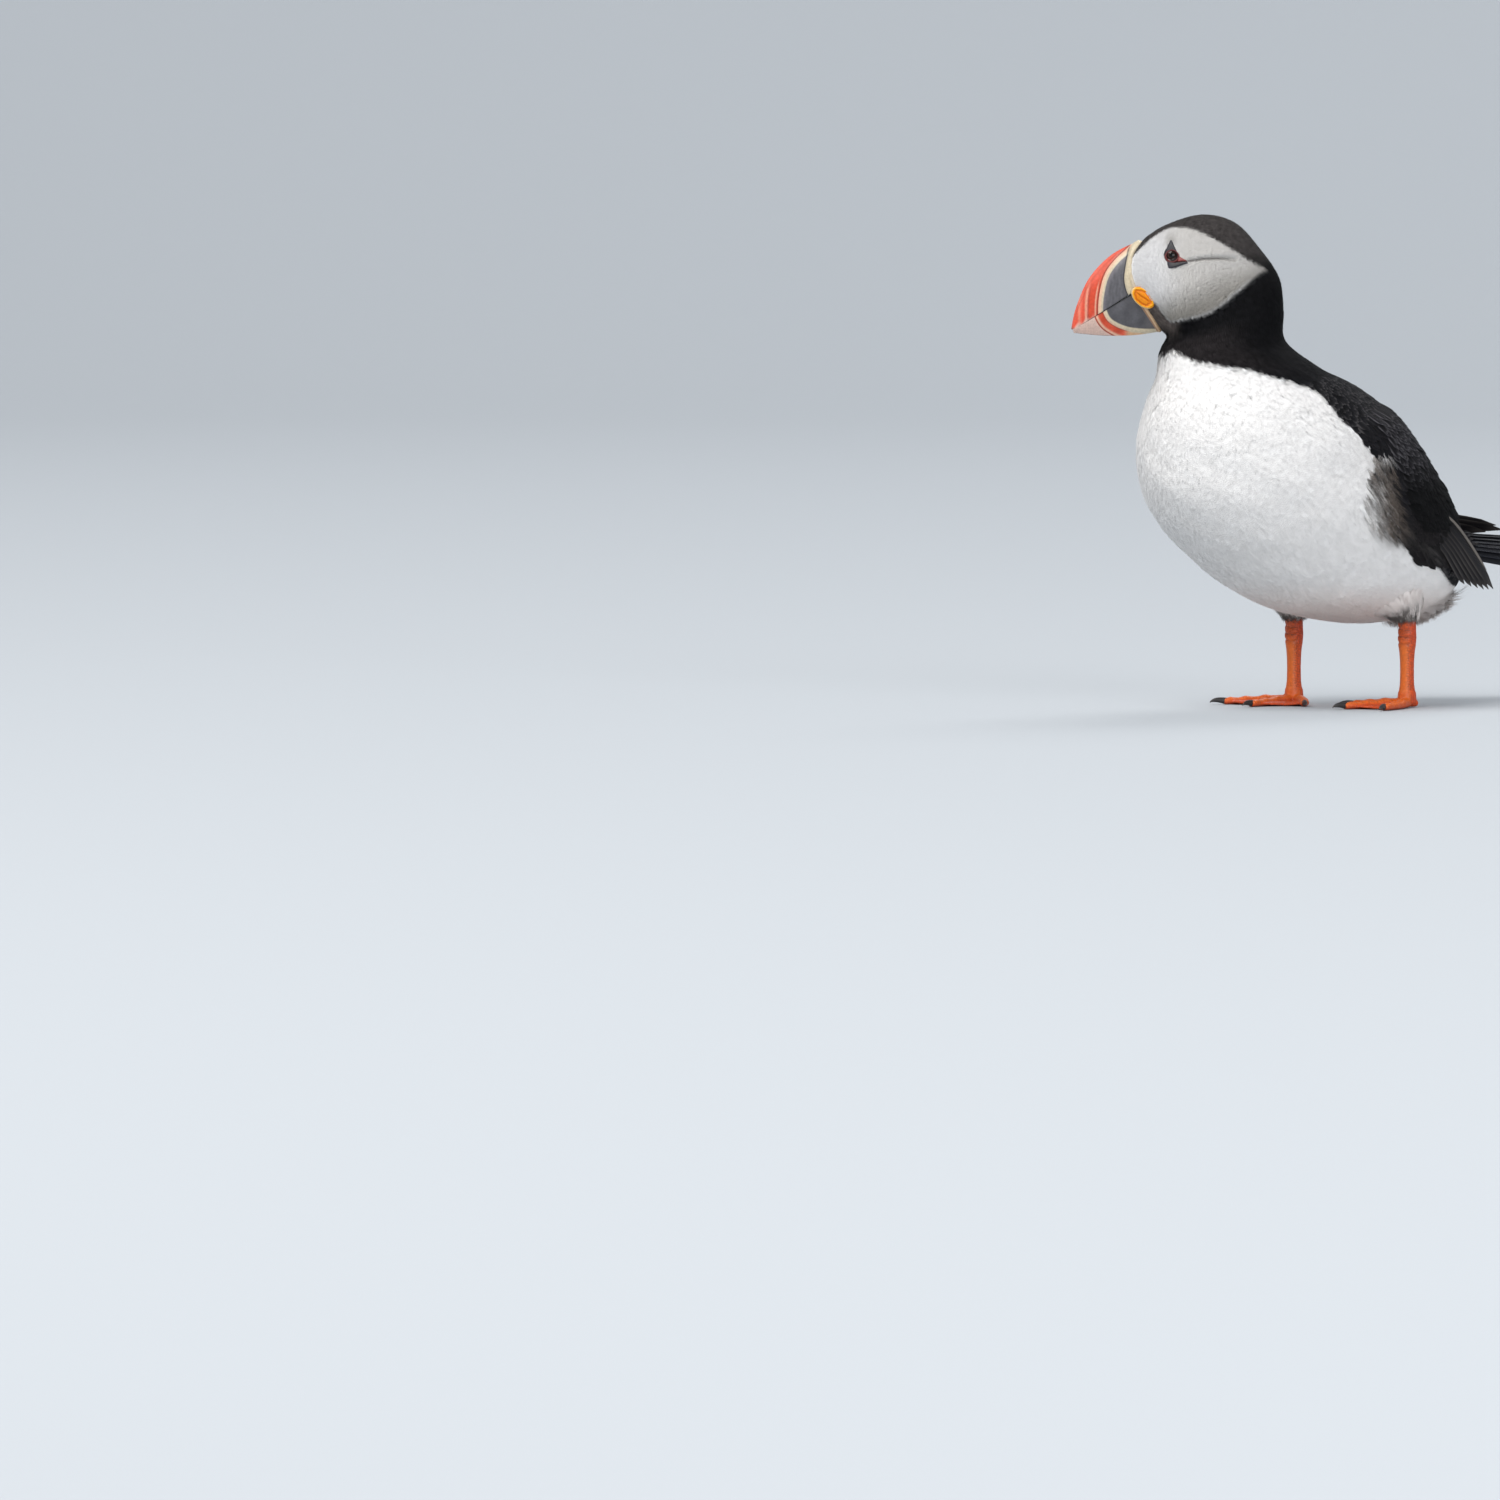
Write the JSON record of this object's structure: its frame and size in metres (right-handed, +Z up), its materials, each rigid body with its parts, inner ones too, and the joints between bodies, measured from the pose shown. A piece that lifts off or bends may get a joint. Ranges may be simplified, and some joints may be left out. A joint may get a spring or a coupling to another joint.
{
  "type": "puffin",
  "caption": "Life-size Atlantic puffin standing on webbed feet, wings folded, head turned to its right.",
  "frame": {"origin": "on the floor under the middle of the bird's bounding box, level with its soles", "axes": "+Z up, -Y the way the body faces, +X the bird's left"},
  "size_m": [0.106, 0.2208, 0.2222],
  "materials": {
    "white_plumage": "soft matt feathers",
    "black_plumage": "soft feathers with a slight sheen",
    "grey_face": "short dense feathers",
    "red_horn": "smooth grooved horn",
    "yellow_rosette": "soft wrinkled skin",
    "orange_skin": "scaly leathery skin",
    "black_claw": "polished horn",
    "brown_eye": "wet and glossy"
  },
  "bodies": {
    "root": {"trunk": "white_plumage", "thigh_left": "white_plumage", "thigh_right": "white_plumage", "neck": "black_plumage", "head": "grey_face", "wing_left": "black_plumage", "wing_right": "black_plumage", "primaries_left": "black_plumage", "primaries_right": "black_plumage", "tail": "black_plumage", "bill_upper": "red_horn", "bill_lower": "red_horn", "rosette_left": "yellow_rosette", "rosette_right": "yellow_rosette", "eye_left": "brown_eye", "eye_right": "brown_eye", "shank_left": "orange_skin", "shank_right": "orange_skin", "foot_left": "orange_skin", "foot_right": "orange_skin", "claw_left_inner": "black_claw", "claw_left_middle": "black_claw", "claw_left_outer": "black_claw", "claw_right_inner": "black_claw", "claw_right_middle": "black_claw", "claw_right_outer": "black_claw"}
  },
  "joints": []
}
